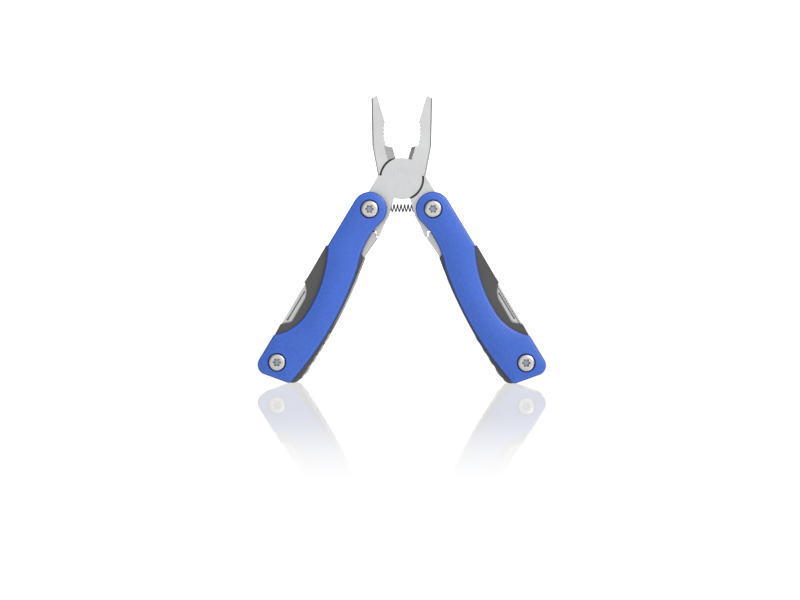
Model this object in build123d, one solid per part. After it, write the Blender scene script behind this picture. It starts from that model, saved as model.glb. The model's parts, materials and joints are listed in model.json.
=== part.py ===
from build123d import *
import math
import os

# A small folding multi-tool, standing open on the ends of its two handles.
# Millimetres and degrees. X is across the handles, +Y is towards the back and +Z is up.
# Handle pieces are drawn in the right handle's own frame: X runs from the head pivot towards
# the tool axle, and Z points out of the handle's open side, where the tools swing out.

# Layout of the open tool
HANDLE_LEAN = 31.2  # each handle's axis, from the vertical
HANDLE_REACH = 58.7  # head pivot to tool axle
PLIER_HEIGHT = 67.2  # plier rivet above the floor
TANG_REACH = 14.55  # plier rivet to head pivot
TANG_SPLAY = 45.5  # from straight down
JAW_OPEN = 16.5  # each jaw, from shut to open

# Layers across the thickness, each a distance from the middle plane
HEAD_HALF = 2.4
CHANNEL_HALF = 3.8
LINER_OUTER = 5.0
COUNTERBORE_FLOOR = 5.55
SCALE_OUTER = 7.0
MIDDLE_LAYER = (0.12, 2.18)
OUTER_LAYER = (2.5, 3.75)
RUN_GAP = 0.02  # between faces that slide on each other

# Plier head
DISC_R = 6.73
SHOULDER_R = 7.42
RIVET_R = 2.0
RIVET_FLARE_R = 2.5
RIVET_FLARE = 0.5
RIVET_PLAY = 0.01
PIN_PLAY = 0.05  # radial clearance of a pin in its hole
SEAT_PLAY = 0.02  # radial clearance of a barrel in a liner or washer
JAW_TIP_HALF = 1.7
JAW_EDGE_CHAMFER = 0.45
FRONT_BEVEL = 1.35
REAR_BEVEL = 2.6
TOOTH_PITCH = 1.3
TOOTH_DEPTH = 0.5
SPRING_DROP = 9.7  # spring axis below the rivet
SPRING_R = 1.2
SPRING_WIRE_R = 0.2
SPRING_HALF = 4.72
SPRING_TURNS = 8
POCKET_R = 1.6
POCKET_FLOOR = 5.0  # from the middle plane between the handles
POCKET_LENGTH = 6.0  # long enough to leave through the tang's inner edge

# Screws and barrels
BARREL_R = 2.2
BARREL_BORE_R = 1.55
SHANK_R = 1.5
WEB_HOLE_R = 1.7
COUNTERBORE_R = 3.12
SCREW_HEAD_R = 2.83
SCREW_HEAD_HEIGHT = 1.4
SCREW_HEAD_SIDE = 0.85  # height of the head's straight side
SOCKET_DEPTH = 0.85
SHANK_END = 1.6  # inner end of a shank, from the middle plane
WASHER_R = 4.0

# Handle
END_R = 5.65  # round end of a scale
SCALE_CORNER = 0.8
SCALE_ROUND = 0.6
TANG_R = 5.3  # round root of each folding tool
NICK_WIDTH = 0.45
NICK_DEPTH = 0.45
SPRING_HALF_WIDTH = 3.75
TAB_AT = 30.0
TAB_LENGTH = 2.4
TAB_OUT = -8.05
SCALLOPS = 4
SCALLOP_START = (42.0, -9.35)
SCALLOP_PITCH = 4.25
SCALLOP_RISE = 0.04  # each hollow above the last
SCALLOP_DEPTH = 0.6
NOSE_TOP = (6.0, -4.3)  # the leaf's end at the heel, its corner tucked under the scale
NOSE_NOTCH = (5.75, -5.3)
NOSE_FACE = (6.8, -6.0)
NOSE_FOOT = (6.75, -6.85)

AXLE = (HANDLE_REACH, 0)
PIVOT_X = TANG_REACH * math.sin(math.radians(TANG_SPLAY))
PIVOT_Z = PLIER_HEIGHT - TANG_REACH * math.cos(math.radians(TANG_SPLAY))


# ---------------------------------------------------------------- helpers

def face_of(*edges):
    """A face bounded by lines and arcs given in order."""
    return make_face(Wire(list(edges)))


def plate(outline, low, high):
    """An outline in X and Z, given thickness from y = low to y = high."""
    return Pos(0, high, 0) * extrude(Plane.XZ * outline, high - low, dir=(0, -1, 0))


def rod(at, radius, low, high):
    """A round bar along Y through the point at = (x, z)."""
    return plate(Pos(*at) * Circle(radius), low, high)


def ring(at, inner, outer, low, high):
    return rod(at, outer, low, high) - rod(at, inner, low, high)


def turned(at, profile):
    """A profile of (radius, y) points, spun about the Y axis through at = (x, z)."""
    flat = make_face(Polyline(*profile, close=True))
    return Pos(at[0], 0, at[1]) * revolve(flat, Axis.Y)


def both_sides(shape):
    """The same piece in front and behind, as separate solids of one node."""
    return Compound(children=[shape, mirror(shape, about=Plane.XZ)])


def on_right(shape):
    return Pos(PIVOT_X, 0, PIVOT_Z) * Rot(0, 90 - HANDLE_LEAN, 0) * shape


def on_left(shape):
    """The left side is the right side turned half a turn about the vertical."""
    return Rot(0, 0, 180) * on_right(shape)


# ---------------------------------------------------------------- plier head

def jaw_outline():
    """The right jaw when shut, with the rivet at the origin and its inner face near x = 0."""
    grip_low = (1.95, 11.7)
    grip_high = (0.12, 19.4)
    return face_of(
        Line((0.1, 28.5), (2.15, 28.05)),
        Line((2.15, 28.05), (6.3, 12.8)),
        Line((6.3, 12.8), (7.23, 3.23)),
        Line((7.23, 3.23), (6.05, 2.88)),
        Line((6.05, 2.88), (0.06, 3.0)),
        Line((0.06, 3.0), (0.06, 10.85)),
        Line((0.06, 10.85), grip_low),
        ThreePointArc(grip_low, (1.5, 15.6), grip_high),
        Line(grip_high, (0.1, 28.5)),
    )


def grip_teeth():
    """Notches along the hollow pipe grip, square to the jaw."""
    arc = ThreePointArc((1.95, 11.7), (1.5, 15.6), (0.12, 19.4))
    count = int(arc.length / TOOTH_PITCH)
    notch = Polygon((0, -0.45), (TOOTH_DEPTH, 0), (0, 0.45), (-0.4, 0), align=None)
    cuts = []
    for i in range(count):
        where = arc.position_at((i + 0.7) / count)
        cuts.append(plate(Pos(where.X, where.Y) * notch, -HEAD_HALF - 1, HEAD_HALF + 1))
    return cuts


def cutter_bevel(width, low_z, side):
    """A wedge that grinds one face of the jaw down to the cutting edge. side is -1 in front."""
    edge_x = 0.06
    slope = [(-1, 0), (edge_x, 0), (edge_x + width, side * HEAD_HALF),
             (edge_x + width, side * 3), (-1, side * 3)]
    wedge = extrude(make_face(Polyline(*slope, close=True)), 11.65 - low_z, dir=(0, 0, 1))
    return Pos(0, 0, low_z) * wedge


def tapered_sides():
    """The side view of a jaw, thinner towards its tip."""
    pts = [(-HEAD_HALF, 0), (-HEAD_HALF, 9), (-JAW_TIP_HALF, 29),
           (JAW_TIP_HALF, 29), (HEAD_HALF, 9), (HEAD_HALF, 0)]
    return extrude(Plane.YZ * make_face(Polyline(*pts, close=True)), 10, dir=(1, 0, 0))


def right_jaw():
    """The jaw as it stands when open."""
    blank = plate(jaw_outline(), -HEAD_HALF, HEAD_HALF) & tapered_sides()
    outer = []
    for edge in blank.edges():
        middle = edge.center()
        beyond = middle.X > 5.9 - max(middle.Z - 12.8, 0) * 0.275
        if beyond and middle.Z > 4 and abs(middle.Y) > 1 and edge.length > 1.5:
            outer.append(edge)
    jaw = chamfer(outer, JAW_EDGE_CHAMFER)
    for cut in grip_teeth():
        jaw -= cut
    jaw -= cutter_bevel(FRONT_BEVEL, DISC_R + 0.02, -1)
    jaw -= cutter_bevel(REAR_BEVEL, 5.5, 1)
    return Pos(0, 0, PLIER_HEIGHT) * Rot(0, JAW_OPEN, 0) * jaw


def tang():
    """The arm from the disc down into a handle, in the handle's frame, with its stop heel."""
    outline = face_of(
        Line((-12.3, 1.18), (-10.9, 3.53)),
        Line((-10.9, 3.53), (0, 3.53)),
        ThreePointArc((0, 3.53), (2.5, 2.5), (3.9, 0)),
        Line((3.9, 0), (5.5, -4.4)),
        Line((5.5, -4.4), (5.0, -5.4)),
        Line((5.0, -5.4), (6.5, -6.2)),
        Line((6.5, -6.2), (6.4, -7.1)),
        Line((6.4, -7.1), (1.9, -6.45)),
        Line((1.9, -6.45), (-1.4, -6.3)),
        Line((-1.4, -6.3), (-3.7, -5.6)),
        Line((-3.7, -5.6), (-7.5, -4.6)),
        Line((-7.5, -4.6), (-10, -3.5)),
        Line((-10, -3.5), (-12.3, 1.18)),
    )
    return plate(outline, -HEAD_HALF, HEAD_HALF)


def rivet_profile(play):
    """Radius and y of the rivet, flared at both faces. play widens it into its hole."""
    flare_at = HEAD_HALF - RIVET_FLARE
    return [(0, -HEAD_HALF), (RIVET_FLARE_R + play, -HEAD_HALF), (RIVET_R + play, -flare_at),
            (RIVET_R + play, flare_at), (RIVET_FLARE_R + play, HEAD_HALF), (0, HEAD_HALF)]


def plier_half_front():
    """Right jaw, half-thick disc in front, and left tang."""
    centre = (0, PLIER_HEIGHT)
    half = right_jaw() + rod(centre, DISC_R, -HEAD_HALF, 0) + on_left(tang())
    half -= rod(centre, SHOULDER_R, -RUN_GAP / 2, HEAD_HALF + 1)
    half -= turned(centre, rivet_profile(RIVET_PLAY))
    half -= on_left(rod((0, 0), BARREL_R + PIN_PLAY, -SCALE_OUTER, SCALE_OUTER))
    pocket = Rot(0, 90, 0) * Cylinder(POCKET_R, POCKET_LENGTH)
    half -= Pos(POCKET_LENGTH / 2 - POCKET_FLOOR, 0, PLIER_HEIGHT - SPRING_DROP) * pocket
    return half


def plier_spring():
    """Compression spring along X, seated in a pocket in each tang."""
    pitch = 2 * SPRING_HALF / SPRING_TURNS
    path = Helix(pitch, 2 * SPRING_HALF, SPRING_R)
    section = Plane(origin=path @ 0, z_dir=path % 0) * Circle(SPRING_WIRE_R)
    coil = sweep(section, path, is_frenet=True)
    return Pos(-SPRING_HALF, 0, PLIER_HEIGHT - SPRING_DROP) * Rot(0, 90, 0) * coil


# ---------------------------------------------------------------- handle shells

def scale_outline():
    """Cover scale: round at the head, a long finger hollow on the open side."""
    return face_of(
        Line((0, END_R), (17.2, END_R)),
        ThreePointArc((17.2, END_R), (27.5, 1.42), (38.6, 0)),
        ThreePointArc((38.6, 0), (46.2, 1.5), (51.6, 5.6)),
        Line((51.6, 5.6), (61.2, 5.6)),
        ThreePointArc((61.2, 5.6), (63.6, 4.4), (64.4, 2.0)),
        Line((64.4, 2.0), (62.85, -5.8)),
        ThreePointArc((62.85, -5.8), (62.35, -6.95), (60.8, -7.45)),
        ThreePointArc((60.8, -7.45), (41, -9.1), (18, -6.4)),
        ThreePointArc((18, -6.4), (9.6, -4.55), (1.4, -5.47)),
        ThreePointArc((1.4, -5.47), (-END_R, 0), (0, END_R)),
    )


def liner_outline():
    """Liner: just inside the scale at the head, past it elsewhere, with a nail window."""
    window_start = (31.6, 5.95)
    window_end = (47.5, 5.6)
    return face_of(
        Line((0, 5.45), (17.2, 5.45)),
        Line((17.2, 5.45), (17.5, 6.15)),
        Line((17.5, 6.15), window_start),
        ThreePointArc(window_start, (33.6, 4.0), (36.0, 3.0)),
        Line((36.0, 3.0), (45.2, 2.8)),
        Line((45.2, 2.8), window_end),
        Line(window_end, (51.5, 5.45)),
        Line((51.5, 5.45), (61.1, 5.45)),
        ThreePointArc((61.1, 5.45), (63.5, 4.3), (64.25, 2.0)),
        Line((64.25, 2.0), (62.5, -6.5)),
        ThreePointArc((62.5, -6.5), (61.8, -8.05), (60.3, -9.1)),
        ThreePointArc((60.3, -9.1), (41, -9.65), (14.6, -6.6)),
        Line((14.6, -6.6), (14.6, -5.2)),
        ThreePointArc((14.6, -5.2), (9.6, -4.4), (1.4, -5.27)),
        ThreePointArc((1.4, -5.27), (-5.45, 0), (0, 5.45)),
    )


def front_scale():
    """One cover scale, rounded at its edge and counterbored for two screw heads."""
    outline = scale_outline()
    outline = fillet(outline.vertices(), SCALE_CORNER)
    scale = plate(outline, -SCALE_OUTER, -LINER_OUTER)
    rim = scale.faces().sort_by(Axis.Y)[0].outer_wire().edges()
    scale = fillet(rim, SCALE_ROUND)
    for at in ((0, 0), AXLE):
        scale -= rod(at, COUNTERBORE_R, -SCALE_OUTER - 1, -COUNTERBORE_FLOOR)
        scale -= rod(at, WEB_HOLE_R, -SCALE_OUTER - 1, 0)
    return scale


def front_liner():
    liner = plate(liner_outline(), -LINER_OUTER, -CHANNEL_HALF)
    for at in ((0, 0), AXLE):
        liner -= rod(at, BARREL_R + SEAT_PLAY, -SCALE_OUTER, 0)
    slot = Pos(TAB_AT, TAB_OUT) * Rectangle(TAB_LENGTH + 0.1, 0.8)
    return liner - plate(slot, -SCALE_OUTER, 0)


def spring_inner_edge():
    """The side of the back spring that faces the tools, from its nose to the head end."""
    return [
        Line((59.2, -5.75), (52.0, -5.75)),
        Line((52.0, -5.75), (50.6, -8.0)),
        ThreePointArc((50.6, -8.0), (38.0, -8.2), (15.5, -5.0)),
        ThreePointArc((15.5, -5.0), (10.8, -4.05), NOSE_TOP),
    ]


def back_spring():
    """Leaf between the liners: it stops the heel at one end and bears on the tools at the other."""
    edges = [Line(NOSE_TOP, NOSE_NOTCH), Line(NOSE_NOTCH, NOSE_FACE), Line(NOSE_FACE, NOSE_FOOT),
             Line(NOSE_FOOT, (14.0, -6.3)),
             ThreePointArc((14.0, -6.3), (27.0, -8.55), SCALLOP_START)]
    at = SCALLOP_START
    for i in range(SCALLOPS):
        after = (at[0] + SCALLOP_PITCH, at[1] + SCALLOP_RISE)
        crest = (at[0] + SCALLOP_PITCH / 2, at[1] - SCALLOP_DEPTH)
        edges.append(ThreePointArc(at, crest, after))
        at = after
    edges.append(Line(at, (59.2, -5.75)))
    leaf = plate(face_of(*edges, *spring_inner_edge()), -SPRING_HALF_WIDTH, SPRING_HALF_WIDTH)
    tab = Pos(TAB_AT, TAB_OUT) * Rectangle(TAB_LENGTH, 0.7)
    return leaf + plate(tab, -LINER_OUTER, LINER_OUTER)


# ---------------------------------------------------------------- handle hardware

def barrel(at):
    return ring(at, BARREL_BORE_R, BARREL_R, -LINER_OUTER, LINER_OUTER)


def socket_outline():
    """Six-lobed drive socket."""
    star = Circle(1.02)
    for lobe in PolarLocations(1.03, 6):
        star += lobe * Circle(0.36)
    return star


def screw(at):
    """Button-head screw in the front scale, with its shank in the barrel."""
    top = -COUNTERBORE_FLOOR - SCREW_HEAD_HEIGHT
    rim = -COUNTERBORE_FLOOR - SCREW_HEAD_SIDE
    dome = face_of(
        Line((0, top), (1.75, top)),
        ThreePointArc((1.75, top), (2.45, top + 0.2), (SCREW_HEAD_R, rim)),
        Line((SCREW_HEAD_R, rim), (SCREW_HEAD_R, -COUNTERBORE_FLOOR)),
        Line((SCREW_HEAD_R, -COUNTERBORE_FLOOR), (SHANK_R, -COUNTERBORE_FLOOR)),
        Line((SHANK_R, -COUNTERBORE_FLOOR), (SHANK_R, -SHANK_END)),
        Line((SHANK_R, -SHANK_END), (0, -SHANK_END)),
        Line((0, -SHANK_END), (0, top)),
    )
    body = Pos(at[0], 0, at[1]) * revolve(dome, Axis.Y)
    return body - plate(Pos(*at) * socket_outline(), top - 1, top + SOCKET_DEPTH)


def screws(at):
    return both_sides(screw(at))


def tang_washers():
    inner = BARREL_R + SEAT_PLAY
    return both_sides(ring((0, 0), inner, WASHER_R, -CHANNEL_HALF, -HEAD_HALF - RUN_GAP))


def tool_washers():
    """Thin washers between the four tools on the axle."""
    inner = BARREL_R + SEAT_PLAY
    between = ring(AXLE, inner, WASHER_R, -OUTER_LAYER[0] + RUN_GAP, -MIDDLE_LAYER[1] - RUN_GAP)
    middle = ring(AXLE, inner, WASHER_R, -0.1, 0.1)
    return Compound(children=[between, middle, mirror(between, about=Plane.XZ)])


# ---------------------------------------------------------------- folding tools

def front_layer(layer):
    return -layer[1], -layer[0]


def tool(outline, layer, *cuts):
    """A folding tool in one layer: its outline joined to a round root on the axle."""
    low, high = layer
    shape = plate(outline, low, high) + rod(AXLE, TANG_R, low, high)
    for cut in cuts:
        shape -= cut
    return shape - rod(AXLE, BARREL_R + PIN_PLAY, -SCALE_OUTER, SCALE_OUTER)


def nail_nick(low, high, centre_z, face_y):
    """Long shallow groove for a fingernail, on the face at face_y."""
    groove = Pos((low + high) / 2, centre_z) * SlotOverall(high - low, NICK_WIDTH)
    return plate(groove, face_y - NICK_DEPTH, face_y + NICK_DEPTH)


def edge_grind(low, high, top, bottom, layer):
    """Two wedges that thin a blade from full thickness at z = top to an edge at z = bottom."""
    middle = (layer[0] + layer[1]) / 2
    wedges = []
    for side, face in ((-1, layer[0]), (1, layer[1])):
        pts = [(face, top), (middle + side * 0.06, bottom), (middle + side * 0.06, bottom - 3),
               (face + side, bottom - 3), (face + side, top)]
        flat = Plane.YZ * make_face(Polyline(*pts, close=True))
        wedges.append(Pos(low, 0, 0) * extrude(flat, high - low, dir=(1, 0, 0)))
    return wedges


def tip_grind(start, tip, layer, tip_half):
    """Two wedges that thin a driver bar towards its tip."""
    middle = (layer[0] + layer[1]) / 2
    wedges = []
    for side, face in ((-1, layer[0]), (1, layer[1])):
        pts = [(start, face), (tip - 1, middle + side * tip_half), (tip - 1, face + side),
               (start, face + side)]
        flat = make_face(Polyline(*pts, close=True))
        wedges.append(Pos(0, 0, -9) * extrude(flat, 18, dir=(0, 0, 1)))
    return wedges


def knife_blade(layer):
    outline = face_of(
        Line((56, 5.3), (35, 5.55)),
        ThreePointArc((35, 5.55), (27.5, 4.2), (21.7, 0.6)),
        ThreePointArc((21.7, 0.6), (26.5, -2.6), (33, -3.9)),
        Line((33, -3.9), (49.6, -4.3)),
        Line((49.6, -4.3), (50.6, -3.2)),
        Line((50.6, -3.2), (55, -4.0)),
        Line((55, -4.0), (56, 5.3)),
    )
    nick = nail_nick(34.2, 45.4, 4.45, layer[0])
    return tool(outline, layer, nick, *edge_grind(20, 49.2, -0.6, -4.1, layer))


def file(layer):
    outline = face_of(
        Line((56, 5.3), (24.5, 5.55)),
        Line((24.5, 5.55), (21.8, 3.2)),
        Line((21.8, 3.2), (21.8, -3.4)),
        Line((21.8, -3.4), (23.2, -4.9)),
        Line((23.2, -4.9), (51, -4.9)),
        Line((51, -4.9), (56, -3.6)),
        Line((56, -3.6), (56, 5.3)),
    )
    return tool(outline, layer, nail_nick(34.5, 44.6, 4.2, layer[0]))


def middle_root():
    """The stepped root of a middle tool, which stays below the folded jaws."""
    return Polygon((56, 4.6), (49, 1.2), (46, -0.8), (46, -5.2), (50, -5.5), (56, -4.4), align=None)


def cross_driver(layer):
    """Round driver shaft with a four-winged point."""
    middle = (layer[0] + layer[1]) / 2
    half = (layer[1] - layer[0]) / 2
    profile = [(0, 22.2), (0.45, 22.2), (half, 24.2), (half, 47), (0, 47)]
    shaft = revolve(make_face(Polyline(*profile, close=True)), Axis.Y)
    shaft = Pos(0, middle, -3.0) * Rot(0, 0, -90) * shaft
    cuts = []
    for turn in (45, 135, 225, 315):
        flute = Pos(23.4, 0, 0.95) * Box(2.6, 0.8, 1.0)
        cuts.append(Pos(0, middle, -3.0) * Rot(turn, 0, 0) * flute)
    body = tool(middle_root(), layer) + shaft
    for cut in cuts:
        body -= cut
    return body


def flat_driver(layer, width, tip):
    """Flat driver bar, hollow ground at its tip."""
    top = -0.9
    bar = Polygon((tip, top - width), (50, top - width), (50, top), (tip, top), align=None)
    bar = bar + middle_root()
    return tool(bar, layer, *tip_grind(tip + 5, tip, layer, 0.3))


def awl(layer):
    spike = Polygon((24, -3.1), (47, -1.2), (50, -1.0), (50, -5.4), (47, -5.2), align=None)
    return tool(spike + middle_root(), layer, *tip_grind(44, 24, layer, 0.25))


def bottle_opener(layer):
    outline = face_of(
        Line((56, 5.3), (28, 5.4)),
        ThreePointArc((28, 5.4), (24.9, 4.2), (24.2, 1.2)),
        Line((24.2, 1.2), (25.4, -4.2)),
        Line((25.4, -4.2), (27.6, -3.4)),
        ThreePointArc((27.6, -3.4), (32.5, 1.4), (36.6, -4.6)),
        Line((36.6, -4.6), (51, -4.9)),
        Line((51, -4.9), (56, -3.6)),
        Line((56, -3.6), (56, 5.3)),
    )
    return tool(outline, layer, nail_nick(35, 45, 4.3, layer[1]))


def can_opener(layer):
    outline = face_of(
        Line((56, 5.3), (33, 5.4)),
        Line((33, 5.4), (27.2, 3.0)),
        Line((27.2, 3.0), (24.6, -3.8)),
        Line((24.6, -3.8), (29.2, -1.6)),
        ThreePointArc((29.2, -1.6), (32.4, -0.4), (34.4, -4.6)),
        Line((34.4, -4.6), (51, -4.9)),
        Line((51, -4.9), (56, -3.6)),
        Line((56, -3.6), (56, 5.3)),
    )
    return tool(outline, layer, nail_nick(35, 45, 4.3, layer[1]))


# ---------------------------------------------------------------- the assembly

def handle_pieces():
    """Every fixed piece of a handle, by name, in the handle's frame."""
    return {
        "front_scale": front_scale(),
        "rear_scale": mirror(front_scale(), about=Plane.XZ),
        "front_liner": front_liner(),
        "rear_liner": mirror(front_liner(), about=Plane.XZ),
        "back_spring": back_spring(),
        "head_pivot_barrel": barrel((0, 0)),
        "head_pivot_screws": screws((0, 0)),
        "tang_washers": tang_washers(),
        "tool_axle_barrel": barrel(AXLE),
        "tool_axle_screws": screws(AXLE),
        "tool_washers": tool_washers(),
    }


def right_tools():
    """The right handle's tools: the first is in the layer nearest the front."""
    return {
        "file": file(front_layer(OUTER_LAYER)),
        "awl": awl(front_layer(MIDDLE_LAYER)),
        "large_screwdriver": flat_driver(MIDDLE_LAYER, 4.8, 22.5),
        "can_opener": can_opener(OUTER_LAYER),
    }


def left_tools():
    """The left handle's frame faces the other way, so its rear layers are drawn in front."""
    return {
        "knife_blade": mirror(knife_blade(front_layer(OUTER_LAYER)), about=Plane.XZ),
        "cross_driver": cross_driver(MIDDLE_LAYER),
        "small_screwdriver": flat_driver(front_layer(MIDDLE_LAYER), 3.0, 26.0),
        "bottle_opener": mirror(bottle_opener(OUTER_LAYER), about=Plane.XZ),
    }


def assembly():
    front_half = plier_half_front()
    nodes = {
        "plier_half_front": front_half,
        "plier_half_rear": Rot(0, 0, 180) * front_half,
        "plier_pivot_rivet": turned((0, PLIER_HEIGHT), rivet_profile(0)),
        "plier_spring": plier_spring(),
    }
    other_side = {"front": "rear", "rear": "front"}
    for name, shape in handle_pieces().items():
        nodes["right_" + name] = on_right(shape)
        first, _, rest = name.partition("_")
        turned_name = other_side[first] + "_" + rest if first in other_side else name
        nodes["left_" + turned_name] = on_left(shape)
    for name, shape in right_tools().items():
        nodes[name] = on_right(shape)
    for name, shape in left_tools().items():
        nodes[name] = on_left(shape)
    return nodes


os.makedirs("parts", exist_ok=True)
for node, solid in assembly().items():
    export_step(solid, f"parts/{node}.step")
print("head pivots", round(PIVOT_X, 3), round(PIVOT_Z, 3))
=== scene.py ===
"""Looks for the folding plier multi-tool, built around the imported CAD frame. Metres."""

import json
import math

import bmesh
import bpy
import numpy as np
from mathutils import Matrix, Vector


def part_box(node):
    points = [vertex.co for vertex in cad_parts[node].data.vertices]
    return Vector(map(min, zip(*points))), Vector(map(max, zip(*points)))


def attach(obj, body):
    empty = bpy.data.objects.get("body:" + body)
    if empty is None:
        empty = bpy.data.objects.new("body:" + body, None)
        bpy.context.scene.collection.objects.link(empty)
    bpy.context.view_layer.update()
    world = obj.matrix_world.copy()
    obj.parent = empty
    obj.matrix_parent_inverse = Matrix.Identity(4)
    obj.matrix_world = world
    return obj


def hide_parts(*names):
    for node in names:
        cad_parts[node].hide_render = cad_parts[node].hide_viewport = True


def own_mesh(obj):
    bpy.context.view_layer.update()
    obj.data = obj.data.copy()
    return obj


MM = 0.001

# View
CAMERA_TURN = 2.0  # degrees to the right of straight on
CAMERA_RISE = 1.5  # degrees above level
CAMERA_AWAY = 0.5
VIEW_WIDTH = 0.2612  # width seen at the view's centre
VIEW_CENTRE = Vector((-0.0004, -0.007, 0.0273))
SENSOR = 36.0

# Light
SURROUND = 0.38  # brightness from all round
FRONT = 0.42  # more of it straight in front
FRONT_FALL = 3  # how fast it falls away from there
GLOW = 0.55  # more of it above right
GLOW_FALL = 1.5
GLOW_FROM = (0.58, -0.3, 0.76)
FLAG = 0.3  # share of the light left at the far sides
FLAG_SPAN = (0.55, 0.9)  # how far out to the side it fades
BACKDROP = 1.7  # what the floor's gloss reflects behind the object
BACKDROP_SPAN = (0.85, 0.95)  # how far back it comes in
FLOOR_WHITE = 1.02
FLOOR_GLOSS = 0.19
GLOSS_ROUGHNESS = 0.03
GLOSS_FRONT = (-0.25, -0.09)  # the gloss comes in along Y here
GLOSS_BACK = (0.01, 0.10)  # and goes out here
GLOSS_SIDES = (0.06, 0.14)  # and here, out to each side
FLOOR_SIZE = 6
FLOOR_Z = -0.0003
KEY_AT = (0.65, -0.5, 0.6)
KEY_TARGET = Vector((0, 0, 0.045))
KEY_SIDE = 0.5
KEY_POWER = 5.0

# Scales
SCALE_BASE = 5.55 * MM  # the counterbore floor, from the middle plane
SCALE_FACE = 7.0 * MM
SCALE_BACK = 5.0 * MM
SCREW_CLEAR = 2.5 * MM  # an edge nearer to a screw's axis belongs to its hole
LONGEST_EDGE = 0.9 * MM
CROWN_DROP = 1.0 * MM  # how much lower the face is at its outline
CROWN_REACH = 5.5 * MM

# Screws
SOCKET_SHADE_BELOW = 6.75 * MM  # the drive socket's painted shade lies below this, measured from the middle plane
SOCKET_REACH = 1.45 * MM

# Rounded edges
LINER_ROUND = 0.08 * MM
TOOL_ROUND = 0.05 * MM
HEAD_ROUND = 0.1 * MM
ROUND_FROM = math.radians(35)  # an edge that turns by less stays as it is
JOIN_WITHIN = 2e-6  # points this near to each other are one

# Coil spring
COIL_WIRE = 0.23 * MM  # wire radius
COIL_RADIUS = 1.17 * MM
COIL_TURNS = 9
COIL_STEPS = 40  # steps in each turn
COIL_SIDES = 10
COIL_CLOSED = 0.75  # turns at each end that lie close

# File teeth, in mm along the handle from the head pivot and out to the open side
FACE_TEETH = {"along": (23.5, 46.0), "out": (-4.5, 2.4), "pitch": 0.7}
EDGE_TEETH = {"along": (26.0, 50.0), "out": (4.5, 5.25), "pitch": 0.95}
TOOTH_HEIGHT = 0.045 * MM
PANEL_SUNK = 0.02 * MM  # the panel's rim lies this far inside the file
TOOTH_STEPS = 4  # mesh steps to a tooth
TOOTH_SKEW = (0.8, -1.1)  # the slants of the two crossed rows

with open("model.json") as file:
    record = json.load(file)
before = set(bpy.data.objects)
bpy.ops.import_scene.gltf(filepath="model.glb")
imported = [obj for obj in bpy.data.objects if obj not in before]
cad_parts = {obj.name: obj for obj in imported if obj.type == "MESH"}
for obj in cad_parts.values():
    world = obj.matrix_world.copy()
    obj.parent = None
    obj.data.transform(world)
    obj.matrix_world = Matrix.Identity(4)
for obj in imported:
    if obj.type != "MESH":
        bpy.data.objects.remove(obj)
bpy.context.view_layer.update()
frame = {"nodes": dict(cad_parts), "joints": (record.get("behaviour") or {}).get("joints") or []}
nodes = frame["nodes"]
joints = {j["name"]: j for j in frame["joints"]}
PIVOT = {side: Vector(joints[side + "_handle_fold"]["pos_m"]) for side in ("left", "right")}
AXLE = {"left": Vector(joints["knife_blade_swing"]["pos_m"]),
        "right": Vector(joints["file_swing"]["pos_m"])}
LEAN = math.degrees(math.atan2(AXLE["right"].x - PIVOT["right"].x, PIVOT["right"].z - AXLE["right"].z))


# ---------------------------------------------------------------- nodes

def maths(tree, operation, *values):
    """A maths node fed with numbers and sockets."""
    node = tree.nodes.new("ShaderNodeMath")
    node.operation = operation
    for socket, value in zip(node.inputs, values):
        if isinstance(value, (int, float)):
            socket.default_value = value
        else:
            tree.links.new(value, socket)
    return node.outputs[0]


def map_range(tree, value, start, end, low, high, shape="LINEAR"):
    """A value moved from start..end to low..high."""
    node = tree.nodes.new("ShaderNodeMapRange")
    node.interpolation_type = shape
    for socket, limit in zip(("From Min", "From Max", "To Min", "To Max"), (start, end, low, high)):
        node.inputs[socket].default_value = limit
    tree.links.new(value, node.inputs["Value"])
    return node.outputs["Result"]


def split_xyz(tree, vector):
    node = tree.nodes.new("ShaderNodeSeparateXYZ")
    tree.links.new(vector, node.inputs[0])
    return node.outputs


# ---------------------------------------------------------------- materials

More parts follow.
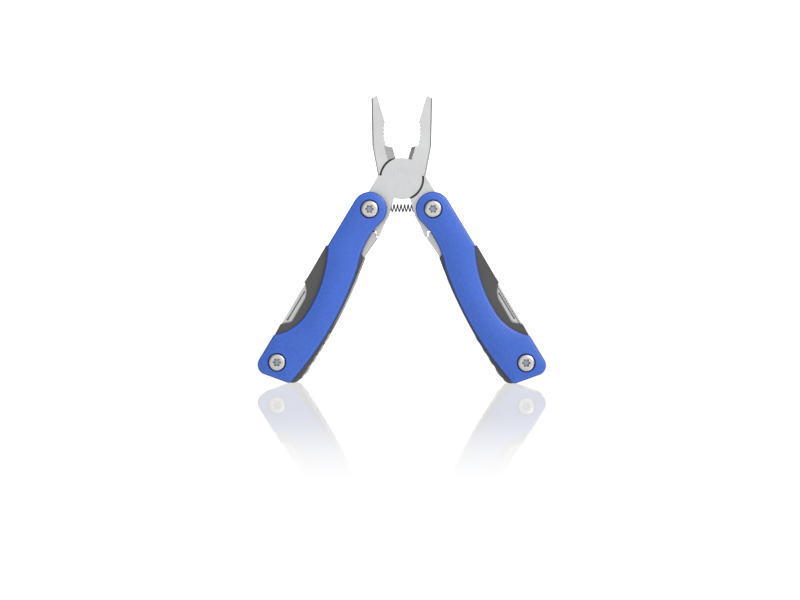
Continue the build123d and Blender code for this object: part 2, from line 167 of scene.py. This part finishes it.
class Shader:
    """A material with helpers that add and join nodes."""

    def __init__(self, name, roughness, metallic=0.0):
        self.material = bpy.data.materials.new(name)
        self.material.use_nodes = True
        self.tree = self.material.node_tree
        self.main = self.tree.nodes["Principled BSDF"]
        self.main.inputs["Roughness"].default_value = roughness
        self.main.inputs["Metallic"].default_value = metallic
        self.coords = self.tree.nodes.new("ShaderNodeTexCoord").outputs["Object"]

    def link(self, source, target):
        self.tree.links.new(source, target)

    def noise(self, scale, detail=3.0, stretch=(1, 1, 1), turn=0.0, roughness=0.55):
        """Noise with its features 1 / scale metres across, stretched and turned about Y."""
        mapping = self.tree.nodes.new("ShaderNodeMapping")
        mapping.vector_type = "TEXTURE"
        mapping.inputs["Rotation"].default_value = (0, math.radians(turn), 0)
        mapping.inputs["Scale"].default_value = stretch
        noise = self.tree.nodes.new("ShaderNodeTexNoise")
        noise.inputs["Scale"].default_value = scale
        noise.inputs["Detail"].default_value = detail
        noise.inputs["Roughness"].default_value = roughness
        self.link(self.coords, mapping.inputs["Vector"])
        self.link(mapping.outputs["Vector"], noise.inputs["Vector"])
        return noise.outputs["Fac"]

    def ramp(self, source, *stops):
        """Colours at positions along a value."""
        ramp = self.tree.nodes.new("ShaderNodeValToRGB")
        elements = ramp.color_ramp.elements
        while len(elements) < len(stops):
            elements.new(0.5)
        for element, (position, colour) in zip(elements, stops):
            element.position = position
            element.color = (*colour, 1)
        self.link(source, ramp.inputs["Fac"])
        return ramp.outputs["Color"]

    def spread(self, source, low, high, start=0.3, end=0.7):
        """A value moved from start..end to low..high."""
        return map_range(self.tree, source, start, end, low, high)

    def mix(self, factor, a, b, blend="MIX"):
        """Two colours mixed; each may be a plain colour."""
        mix = self.tree.nodes.new("ShaderNodeMix")
        mix.data_type = "RGBA"
        mix.blend_type = blend
        if isinstance(factor, float):
            mix.inputs[0].default_value = factor
        else:
            self.link(factor, mix.inputs[0])
        for socket, value in ((6, a), (7, b)):
            if isinstance(value, tuple):
                mix.inputs[socket].default_value = (*value, 1)
            else:
                self.link(value, mix.inputs[socket])
        return mix.outputs[2]

    def maths(self, operation, *values):
        return maths(self.tree, operation, *values)

    def painted_shade(self, colour, darkest, reach=1.2 * MM):
        """Painted shade: a colour darkened in narrow gaps and inner corners."""
        shade = self.tree.nodes.new("ShaderNodeAmbientOcclusion")
        shade.samples = 12
        shade.inputs["Distance"].default_value = reach
        shadow = self.ramp(shade.outputs["AO"], (0.3, grey(darkest)), (0.75, grey(1.0)))
        return self.mix(1.0, colour, shadow, "MULTIPLY")

    def attribute(self, name):
        node = self.tree.nodes.new("ShaderNodeAttribute")
        node.attribute_name = name
        return node.outputs["Fac"]

    def bump(self, source, strength, distance):
        bump = self.tree.nodes.new("ShaderNodeBump")
        bump.inputs["Strength"].default_value = strength
        bump.inputs["Distance"].default_value = distance
        self.link(source, bump.inputs["Height"])
        self.link(bump.outputs["Normal"], self.main.inputs["Normal"])

    def colour(self, source):
        self.link(source, self.main.inputs["Base Color"])

    def roughness(self, source):
        self.link(source, self.main.inputs["Roughness"])


def grey(value, tint=0.0):
    return (value - tint, value, value + tint)


def brushed(name, shade, turn, roughness=0.36, contrast=0.05, tint=0.006, bevel_shade=1.0, edges=1.0):
    """Ground steel: fine strokes along one direction over broad, faint clouds.

    Slanted faces get painted shade by the bevel factor, and edge faces by the edge factor; narrow gaps and
    inner corners get painted shade as well."""
    shader = Shader(name, roughness, 1.0)
    strokes = shader.noise(9000, 2.0, (1, 1, 28), turn)
    clouds = shader.noise(160, 3.0)
    fine = shader.ramp(strokes, (0.3, grey(shade - contrast, tint)), (0.7, grey(shade + contrast, tint)))
    broad = shader.ramp(clouds, (0.3, grey(0.93)), (0.7, grey(1.0)))
    steel = shader.mix(1.0, fine, broad, "MULTIPLY")
    # painted shade: faces turned away from Y are coloured darker, slanted ones by the bevel factor and edge
    # faces by the edge factor
    normal = shader.tree.nodes.new("ShaderNodeNewGeometry").outputs["True Normal"]
    facing = shader.maths("ABSOLUTE", split_xyz(shader.tree, normal)["Y"])
    facing_shade = shader.ramp(facing, (0.0, grey(edges)), (0.58, grey(1.0)), (0.66, grey(bevel_shade)),
                       (0.80, grey(bevel_shade)), (0.90, grey(1.0)))
    # painted shade in narrow gaps and inner corners, nearly black at the darkest
    shader.colour(shader.painted_shade(shader.mix(1.0, steel, facing_shade, "MULTIPLY"), 0.02))
    shader.roughness(shader.spread(strokes, roughness - 0.05, roughness + 0.06))
    shader.bump(strokes, 0.25, 0.000012)
    return shader.material


def blue_paint():
    """Satin blue with an orange-peel grain, with painted shade at its very edge and a painted highlight just
    inside it.
    """
    shader = Shader("blue_satin", 0.42, 0.0)
    shader.main.inputs["Coat Weight"].default_value = 0.15
    shader.main.inputs["Coat Roughness"].default_value = 0.35
    grain = shader.noise(5200, 2.0)
    clouds = shader.noise(90, 2.0)
    base = shader.ramp(grain, (0.32, (0.034, 0.121, 0.59)), (0.68, (0.050, 0.156, 0.68)))
    base = shader.mix(1.0, base, shader.ramp(clouds, (0.3, grey(0.94)), (0.7, grey(1.0))), "MULTIPLY")
    peel = shader.noise(1100, 2.0)
    base = shader.mix(1.0, base, shader.ramp(peel, (0.35, grey(0.88)), (0.65, grey(1.0))), "MULTIPLY")
    distance = shader.attribute("rim_distance")
    # painted shade: darker along the scale's outline; painted highlight: a lighter thin band just inside it
    edge_shade = shader.spread(distance, 0.75, 0.0, 0.1 * MM, 0.45 * MM)
    edge_highlight = shader.spread(shader.maths("ABSOLUTE", shader.maths("SUBTRACT", distance, 0.65 * MM)),
                           0.14, 0.0, 0.0, 0.35 * MM)
    base = shader.mix(edge_highlight, shader.mix(edge_shade, base, (0.010, 0.035, 0.26)), (0.16, 0.29, 0.80))
    # painted shade in narrow gaps, such as the ring round each screw head
    shader.colour(shader.painted_shade(base, 0.45, 0.5 * MM))
    shader.roughness(shader.spread(grain, 0.38, 0.48))
    shader.bump(shader.maths("ADD", grain, peel), 0.3, 0.00004)
    return shader.material


def dark_oxide():
    """Dark grey liner finish with a fine tooth."""
    shader = Shader("dark_oxide", 0.5, 0.35)
    grain = shader.noise(4200, 3.0)
    clouds = shader.noise(120, 2.0)
    base = shader.ramp(grain, (0.3, grey(0.080)), (0.7, grey(0.112)))
    shader.colour(shader.mix(1.0, base, shader.ramp(clouds, (0.3, grey(0.9)), (0.7, grey(1.0))), "MULTIPLY"))
    shader.roughness(shader.spread(grain, 0.44, 0.58))
    shader.bump(grain, 0.2, 0.00002)
    return shader.material


def screw_steel(name, centre):
    """Bright steel, turned in rings about the screw, with painted shade down in the drive socket."""
    shader = Shader(name, 0.42, 1.0)
    point = split_xyz(shader.tree, shader.coords)
    across = shader.maths("SUBTRACT", point["X"], centre.x)
    up = shader.maths("SUBTRACT", point["Z"], centre.z)
    radius = shader.maths("POWER", shader.maths("ADD", shader.maths("MULTIPLY", across, across),
                                                shader.maths("MULTIPLY", up, up)), 0.5)
    rings = shader.tree.nodes.new("ShaderNodeTexNoise")
    rings.noise_dimensions = "1D"
    rings.inputs["Scale"].default_value = 14000
    shader.link(radius, rings.inputs["W"])
    base = shader.ramp(rings.outputs["Fac"], (0.3, (0.62, 0.61, 0.59)), (0.7, (0.72, 0.71, 0.69)))
    # painted shade: the drive socket is coloured darker, and narrow gaps are darkened too
    deep = shader.maths("LESS_THAN", shader.maths("ABSOLUTE", point["Y"]), SOCKET_SHADE_BELOW)
    inside = shader.maths("LESS_THAN", radius, SOCKET_REACH)
    socket = shader.maths("MULTIPLY", deep, inside)
    shader.colour(shader.painted_shade(shader.mix(socket, base, (0.40, 0.42, 0.48)), 0.3))
    shader.bump(rings.outputs["Fac"], 0.15, 0.00001)
    return shader.material


def cut_teeth():
    """File teeth: painted highlights on the points and painted shade in the valleys."""
    shader = Shader("cut_teeth_steel", 0.4, 1.0)
    marks = shader.noise(3000, 2.0)
    # painted highlights on the tooth points and painted shade in the valleys, by tooth height
    points = shader.ramp(shader.attribute("tooth_height"),
                         (0.0, grey(0.09)), (0.35, grey(0.34)), (0.8, grey(0.88)))
    worn = shader.ramp(marks, (0.3, grey(0.88)), (0.7, grey(1.0)))
    shader.colour(shader.mix(1.0, points, worn, "MULTIPLY"))
    shader.roughness(shader.spread(marks, 0.36, 0.5))
    return shader.material


def coil_wire():
    """Dark drawn wire with a violet cast."""
    shader = Shader("coil_wire", 0.32, 1.0)
    marks = shader.noise(5000, 2.0)
    shader.colour(shader.ramp(marks, (0.3, (0.11, 0.10, 0.15)), (0.7, (0.20, 0.19, 0.26))))
    shader.roughness(shader.spread(marks, 0.25, 0.42))
    return shader.material


BLUE = blue_paint()
LINER = dark_oxide()
# painted shade: the cutter bevels of the head are coloured darker
HEAD = brushed("head_steel", 0.74, 0.0, 0.4, 0.03, bevel_shade=0.66)
TOOL = {"left": brushed("left_tool_steel", 0.66, 90 + LEAN),
        "right": brushed("right_tool_steel", 0.66, 90 - LEAN)}
# painted shade: the leaves' edge faces are coloured darker
SPRING_LEAF = {"left": brushed("left_leaf_steel", 0.62, LEAN, edges=0.35),
               "right": brushed("right_leaf_steel", 0.62, -LEAN, edges=0.35)}
COIL = coil_wire()
TEETH = cut_teeth()
BRIGHT = brushed("washer_steel", 0.7, 0.0)


def paint(obj, material):
    obj.data.materials.clear()
    obj.data.materials.append(material)


# ---------------------------------------------------------------- mesh helpers

def new_object(name, bm):
    mesh = bpy.data.meshes.new(name)
    bm.to_mesh(mesh)
    bm.free()
    obj = bpy.data.objects.new(name, mesh)
    bpy.context.scene.collection.objects.link(obj)
    return obj


def plain_copy(mesh):
    """The shape of a mesh with its split points joined again and nothing else."""
    bm = bmesh.new()
    points = [bm.verts.new(v.co) for v in mesh.vertices]
    for polygon in mesh.polygons:
        corners = [points[i] for i in polygon.vertices]
        if len(set(corners)) == len(corners):
            bm.faces.new(corners)
    bmesh.ops.remove_doubles(bm, verts=bm.verts, dist=JOIN_WITHIN)
    bmesh.ops.recalc_face_normals(bm, faces=bm.faces)
    return bm


def smooth_by_angle(obj, degrees):
    obj.data.shade_smooth()
    obj.data.set_sharp_from_angle(angle=math.radians(degrees))


def soften(obj, width, segments=2):
    """A small round on every sharp edge of a CAD node."""
    weld = obj.modifiers.new("join", "WELD")
    weld.merge_threshold = JOIN_WITHIN
    bevel = obj.modifiers.new("edge", "BEVEL")
    bevel.width = width
    bevel.segments = segments
    bevel.limit_method = "ANGLE"
    bevel.angle_limit = ROUND_FROM
    normals = obj.modifiers.new("shading", "WEIGHTED_NORMAL")
    normals.weight = 100
    normals.keep_sharp = True


# ---------------------------------------------------------------- crowned scales

def distance_to(points, segments):
    """Distance in X and Z from each point to the nearest segment."""
    start = np.array([a for a, _ in segments])
    along = np.array([b for _, b in segments]) - start
    length = np.maximum((along**2).sum(1), 1e-16)
    away = points[:, None, :] - start[None]
    t = np.clip((away * along[None]).sum(2) / length[None], 0, 1)
    return np.sqrt(((away - t[..., None] * along[None])**2).sum(2).min(1))


def outline_of(bm, screws_at):
    """The edges round a scale's inner face, without those of its screw holes."""
    found = []
    for edge in bm.edges:
        a, b = (v.co for v in edge.verts)
        low = max(abs(a.y), abs(b.y)) < SCALE_BACK + 0.02 * MM
        flat = sorted(abs(f.normal.y) for f in edge.link_faces)
        middle = (a + b) / 2
        clear = all(math.hypot(middle.x - s.x, middle.z - s.z) > SCREW_CLEAR for s in screws_at)
        if low and len(flat) == 2 and flat[0] < 0.5 < flat[1] and clear:
            found.append(((a.x, a.z), (b.x, b.z)))
    return found


def refine(bm, longest):
    """Divides the edges of the outer face until none is longer than this."""
    for _ in range(12):
        long = [e for e in bm.edges if e.calc_length() > longest
                and min(abs(v.co.y) for v in e.verts) > SCALE_BASE + 0.05 * MM]
        if not long:
            return
        bmesh.ops.subdivide_edges(bm, edges=long, cuts=1)
        bmesh.ops.triangulate(bm, faces=[f for f in bm.faces if len(f.verts) > 3])
        bm.normal_update()
        flat = {f for f in bm.faces if abs(f.normal.y) > 0.999 and abs(f.verts[0].co.y) > SCALE_FACE - 1e-5}
        inner = {e for f in flat for e in f.edges if all(g in flat for g in e.link_faces)}
        bmesh.ops.beautify_fill(bm, faces=list(flat), edges=list(inner))


def crowned_scale(side, face):
    name = f"{side}_{face}_scale"
    bm = plain_copy(nodes[name].data)
    segments = outline_of(bm, (PIVOT[side], AXLE[side]))
    refine(bm, LONGEST_EDGE)
    bm.verts.ensure_lookup_table()
    points = np.array([(v.co.x, v.co.z) for v in bm.verts])
    near = distance_to(points, segments)
    for vert, distance in zip(bm.verts, near):
        height = abs(vert.co.y)
        if height > SCALE_BASE:
            drop = CROWN_DROP * (1 - min(distance / CROWN_REACH, 1))**2
            share = 1 - drop / (SCALE_FACE - SCALE_BASE)
            vert.co.y = math.copysign(SCALE_BASE + (height - SCALE_BASE) * share, vert.co.y)
    obj = new_object(name + "_crowned", bm)
    rim = obj.data.attributes.new("rim_distance", "FLOAT", "POINT")
    rim.data.foreach_set("value", near.astype(np.float32))
    smooth_by_angle(obj, 32)
    paint(obj, BLUE)
    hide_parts(name)
    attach(obj, side + "_handle")


# ---------------------------------------------------------------- coil spring

def coil_spring():
    """The compression spring, its last turn at each end laid close."""
    low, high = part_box("plier_spring")
    length = high.x - low.x - 2 * COIL_WIRE
    centre = (low + high) / 2
    rings = []
    tight = 2 * COIL_WIRE * COIL_CLOSED
    for i in range(COIL_TURNS * COIL_STEPS + 1):
        turn = i / COIL_STEPS
        share = (turn - COIL_CLOSED) / (COIL_TURNS - 2 * COIL_CLOSED)
        if turn < COIL_CLOSED:
            x = 2 * COIL_WIRE * turn
        elif turn > COIL_TURNS - COIL_CLOSED:
            x = length - 2 * COIL_WIRE * (COIL_TURNS - turn)
        else:
            x = tight + (length - 2 * tight) * share
        angle = 2 * math.pi * turn
        outward = Vector((0, math.cos(angle), math.sin(angle)))
        at = Vector((low.x + COIL_WIRE + x, centre.y, centre.z)) + COIL_RADIUS * outward
        rings.append((at, outward))
    bm = bmesh.new()
    loops = []
    for i, (at, outward) in enumerate(rings):
        before = rings[max(i - 1, 0)][0]
        after = rings[min(i + 1, len(rings) - 1)][0]
        along = (after - before).normalized()
        across = along.cross(outward).normalized()
        loop = []
        for k in range(COIL_SIDES):
            turn = 2 * math.pi * k / COIL_SIDES
            loop.append(bm.verts.new(at + COIL_WIRE * (math.cos(turn) * outward + math.sin(turn) * across)))
        loops.append(loop)
    for a, b in zip(loops, loops[1:]):
        for k in range(COIL_SIDES):
            after = (k + 1) % COIL_SIDES
            bm.faces.new((a[k], a[after], b[after], b[k]))
    bm.faces.new(loops[0])
    bm.faces.new(loops[-1])
    bmesh.ops.recalc_face_normals(bm, faces=bm.faces)
    obj = new_object("coil_spring_wound", bm)
    smooth_by_angle(obj, 50)
    paint(obj, COIL)
    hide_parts("plier_spring")
    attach(obj, "rear_plier")
    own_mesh(obj)


# ---------------------------------------------------------------- file teeth

def on_handle(side, along, out, y):
    """A point by its distance from the head pivot along a handle, and out towards the open side."""
    down = (AXLE[side] - PIVOT[side]).normalized()
    outward = Vector((-down.z, 0, down.x)) if side == "right" else Vector((down.z, 0, -down.x))
    point = PIVOT[side] + down * along * MM + outward * out * MM
    return Vector((point.x, y, point.z))


def tooth_panel(name, along, out, pitch):
    """Crossed rows of small pointed teeth on the file's front face."""
    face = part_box("file")[0].y
    steps = [round((end - start) / pitch * TOOTH_STEPS) for start, end in (along, out)]
    bm = bmesh.new()
    grid = []
    heights = []
    for i in range(steps[0] + 1):
        row = []
        for k in range(steps[1] + 1):
            s = along[0] + (along[1] - along[0]) * i / steps[0]
            t = out[0] + (out[1] - out[0]) * k / steps[1]
            edge = i in (0, steps[0]) or k in (0, steps[1])
            first, second = (abs(((s + skew * t) / pitch) % 1 - 0.5) * 2 for skew in TOOTH_SKEW)
            rise = -PANEL_SUNK if edge else TOOTH_HEIGHT * first * second
            heights.append(0.5 if edge else first * second)
            row.append(bm.verts.new(on_handle("right", s, t, face - rise)))
        grid.append(row)
    for a, b in zip(grid, grid[1:]):
        for k in range(steps[1]):
            bm.faces.new((a[k], a[k + 1], b[k + 1], b[k]))
    bmesh.ops.recalc_face_normals(bm, faces=bm.faces)
    if sum(f.normal.y for f in bm.faces) > 0:
        bmesh.ops.reverse_faces(bm, faces=bm.faces)
    obj = new_object(name, bm)
    obj.data.attributes.new("tooth_height", "FLOAT", "POINT").data.foreach_set("value", heights)
    paint(obj, TEETH)
    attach(obj, "file")


# ---------------------------------------------------------------- building

for side in ("left", "right"):
    for face in ("front", "rear"):
        crowned_scale(side, face)
        paint(nodes[f"{side}_{face}_liner"], LINER)
        soften(nodes[f"{side}_{face}_liner"], LINER_ROUND)
    paint(nodes[side + "_back_spring"], SPRING_LEAF[side])
    soften(nodes[side + "_back_spring"], LINER_ROUND)
    for piece, at in (("head_pivot_screws", PIVOT[side]), ("tool_axle_screws", AXLE[side])):
        paint(nodes[f"{side}_{piece}"], screw_steel(f"{side}_{piece}_steel", at))
    for piece in ("head_pivot_barrel", "tool_axle_barrel", "tang_washers", "tool_washers"):
        paint(nodes[f"{side}_{piece}"], BRIGHT)

for side, tools in (("left", ("knife_blade", "cross_driver", "small_screwdriver", "bottle_opener")),
                    ("right", ("file", "awl", "large_screwdriver", "can_opener"))):
    for tool in tools:
        paint(nodes[tool], TOOL[side])
        soften(nodes[tool], TOOL_ROUND, 1)

for piece in ("plier_half_front", "plier_half_rear", "plier_pivot_rivet"):
    paint(nodes[piece], HEAD)
for piece in ("plier_half_front", "plier_half_rear"):
    soften(nodes[piece], HEAD_ROUND)

coil_spring()
tooth_panel("file_teeth_face", **FACE_TEETH)
tooth_panel("file_teeth_edge", **EDGE_TEETH)


# ---------------------------------------------------------------- floor, light, camera

def floor():
    """White floor with a pool of gloss round the object that fades on every side; the glow is dimmed in the
    pool, a painted soft shadow where the gloss reflects less than the backdrop.
    """
    bpy.ops.mesh.primitive_plane_add(size=FLOOR_SIZE, location=(0, 0, FLOOR_Z))
    plane = bpy.context.object
    plane.name = "studio_floor"
    material = bpy.data.materials.new("studio_white")
    material.use_nodes = True
    tree = material.node_tree
    tree.nodes.clear()
    place = split_xyz(tree, tree.nodes.new("ShaderNodeNewGeometry").outputs["Position"])
    out = maths(tree, "ABSOLUTE", place["X"])
    front = map_range(tree, place["Y"], *GLOSS_FRONT, 0.0, FLOOR_GLOSS, "SMOOTHSTEP")
    back = map_range(tree, place["Y"], *GLOSS_BACK, 1.0, 0.0, "SMOOTHSTEP")
    sides = map_range(tree, out, *GLOSS_SIDES, 1.0, 0.0, "SMOOTHSTEP")
    share = maths(tree, "MULTIPLY", maths(tree, "MULTIPLY", front, back), sides)
    glow = tree.nodes.new("ShaderNodeEmission")
    # painted shadow: the glow is dimmed by BACKDROP times the gloss share, so the pool shows as a soft grey
    # patch round the object wherever the gloss reflects less than that
    tree.links.new(maths(tree, "MULTIPLY_ADD", share, -BACKDROP, FLOOR_WHITE), glow.inputs["Strength"])
    gloss = tree.nodes.new("ShaderNodeBsdfGlossy")
    gloss.inputs["Roughness"].default_value = GLOSS_ROUGHNESS
    tree.links.new(share, gloss.inputs["Color"])
    both = tree.nodes.new("ShaderNodeAddShader")
    tree.links.new(glow.outputs[0], both.inputs[0])
    tree.links.new(gloss.outputs[0], both.inputs[1])
    output = tree.nodes.new("ShaderNodeOutputMaterial")
    tree.links.new(both.outputs[0], output.inputs["Surface"])
    plane.data.materials.append(material)


def key_light():
    light = bpy.data.lights.new("key", "AREA")
    light.shape = "RECTANGLE"
    light.size = light.size_y = KEY_SIDE
    light.energy = KEY_POWER
    obj = bpy.data.objects.new("key", light)
    bpy.context.scene.collection.objects.link(obj)
    obj.location = KEY_AT
    obj.rotation_euler = (KEY_TARGET - Vector(KEY_AT)).to_track_quat("-Z", "Y").to_euler()


def surroundings():
    """Soft white surroundings, brighter above right, darker far out at both sides."""
    world = bpy.data.worlds.new("studio")
    bpy.context.scene.world = world
    world.use_nodes = True
    tree = world.node_tree
    background = tree.nodes["Background"]
    background.inputs["Color"].default_value = (1, 1, 1, 1)
    direction = tree.nodes.new("ShaderNodeTexCoord").outputs["Generated"]
    toward = tree.nodes.new("ShaderNodeVectorMath")
    toward.operation = "DOT_PRODUCT"
    toward.inputs[1].default_value = GLOW_FROM
    tree.links.new(direction, toward.inputs[0])
    way = split_xyz(tree, direction)
    forward = maths(tree, "MULTIPLY", way["Y"], -1)
    glow = maths(tree, "POWER", maths(tree, "MAXIMUM", toward.outputs["Value"], 0), GLOW_FALL)
    front = maths(tree, "POWER", maths(tree, "MAXIMUM", forward, 0), FRONT_FALL)
    lit = maths(tree, "MULTIPLY_ADD", glow, GLOW, maths(tree, "MULTIPLY_ADD", front, FRONT, SURROUND))
    flags = map_range(tree, maths(tree, "ABSOLUTE", way["X"]), *FLAG_SPAN, 1.0, FLAG, "SMOOTHSTEP")
    behind = map_range(tree, way["Y"], *BACKDROP_SPAN, 0.0, BACKDROP, "SMOOTHSTEP")
    shown = maths(tree, "MAXIMUM", maths(tree, "MULTIPLY", lit, flags), behind)
    seen = tree.nodes.new("ShaderNodeLightPath").outputs["Is Camera Ray"]
    tree.links.new(maths(tree, "MAXIMUM", shown, seen), background.inputs["Strength"])


def camera():
    data = bpy.data.cameras.new("camera")
    data.sensor_width = SENSOR
    data.lens = SENSOR * CAMERA_AWAY / VIEW_WIDTH
    data.clip_start = 0.01
    obj = bpy.data.objects.new("camera", data)
    bpy.context.scene.collection.objects.link(obj)
    turn, rise = math.radians(CAMERA_TURN), math.radians(CAMERA_RISE)
    away = Vector((math.sin(turn) * math.cos(rise), -math.cos(turn) * math.cos(rise), math.sin(rise)))
    obj.location = VIEW_CENTRE + away * CAMERA_AWAY
    obj.rotation_euler = (-away).to_track_quat("-Z", "Y").to_euler()
    bpy.context.scene.camera = obj


floor()
surroundings()
key_light()
camera()
bpy.context.scene.view_settings.view_transform = "Standard"
